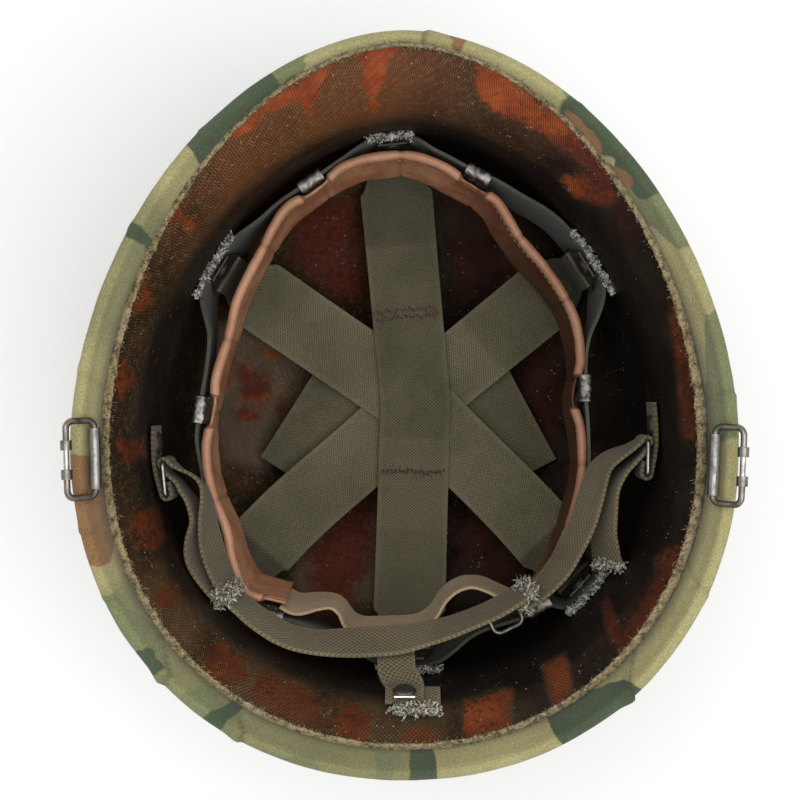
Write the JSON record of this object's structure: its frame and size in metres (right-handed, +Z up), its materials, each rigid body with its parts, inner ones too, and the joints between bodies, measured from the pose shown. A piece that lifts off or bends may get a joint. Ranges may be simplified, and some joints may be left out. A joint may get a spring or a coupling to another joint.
{
  "type": "combat helmet",
  "caption": "Two-piece combat helmet lying crown down: steel shell in a camouflage cloth cover with hinged chin-strap loops, and a lift-out liner with webbing suspension and leather sweatband.",
  "frame": {"origin": "lowest point of the crown that it lies on, under the middle of its bounding box", "axes": "+Z up, out of the open side; -Y towards the helmet's front; +X towards the wearer's right"},
  "size_m": [0.2488, 0.2831, 0.1898],
  "materials": {
    "shell_steel": "matt olive paint",
    "bead_steel": "matt olive paint",
    "cover_cloth": "printed cotton duck, matt, camouflage",
    "lug_steel": "bare, dull, scratched",
    "loop_steel": "plated, worn",
    "pin_steel": "polished by the strap",
    "liner_duck": "resin-filled cotton duck with its weave showing",
    "rivet_metal": "dark, worn",
    "washer_metal": "dark japanned steel",
    "crown_webbing": "olive-grey herringbone webbing",
    "band_webbing": "dark webbing",
    "leather": "tan, worn",
    "sweat_cotton": "grey-buff cotton",
    "clip_metal": "plated, worn",
    "wire_metal": "plated wire",
    "nape_webbing": "olive webbing",
    "nape_rivet_metal": "dull",
    "staple_metal": "bright wire"
  },
  "bodies": {
    "shell": {"steel_shell": "shell_steel", "rim_bead": "bead_steel", "helmet_cover": "cover_cloth", "cover_seam": "cover_cloth", "loop_lug_right": "lug_steel", "loop_lug_left": "lug_steel"},
    "loop_right": {"chinstrap_loop_right": "loop_steel", "loop_pin_right": "pin_steel"},
    "loop_left": {"chinstrap_loop_left": "loop_steel", "loop_pin_left": "pin_steel"},
    "liner": {"liner_shell": "liner_duck", "liner_rivets": "rivet_metal", "strap_washers": "washer_metal", "strap_hems": "crown_webbing", "headband_webbing": "band_webbing", "crown_strap_long": "crown_webbing", "crown_strap_right": "crown_webbing", "crown_strap_left": "crown_webbing", "crown_tail_right": "crown_webbing", "crown_tail_left": "crown_webbing", "sweatband_leather": "leather", "sweatband_rear": "sweat_cotton", "sweatband_clips": "clip_metal", "sweatband_buckle": "wire_metal", "nape_strap": "nape_webbing", "nape_end_right": "nape_webbing", "nape_end_left": "nape_webbing", "nape_tab_right": "nape_webbing", "nape_tab_left": "nape_webbing", "nape_link_right": "wire_metal", "nape_link_left": "wire_metal", "nape_rivets": "nape_rivet_metal", "rear_tab": "nape_webbing", "rear_tab_staple": "staple_metal"}
  },
  "joints": [
    {"name": "loop_right_hinge", "type": "hinge", "parent": "shell", "child": "loop_right", "pos_m": [0.11338, 0.0207, 0.17876], "axis": [0.0292, -0.9996, 0], "range_deg": [0, 165]},
    {"name": "loop_left_hinge", "type": "hinge", "parent": "shell", "child": "loop_left", "pos_m": [-0.1133, 0.02293, 0.17876], "axis": [0.0444, 0.999, 0], "range_deg": [0, 165]},
    {"name": "liner_lift", "type": "slide", "parent": "shell", "child": "liner", "axis": [0, 0, 1], "range_m": [0, 0.2]}
  ]
}
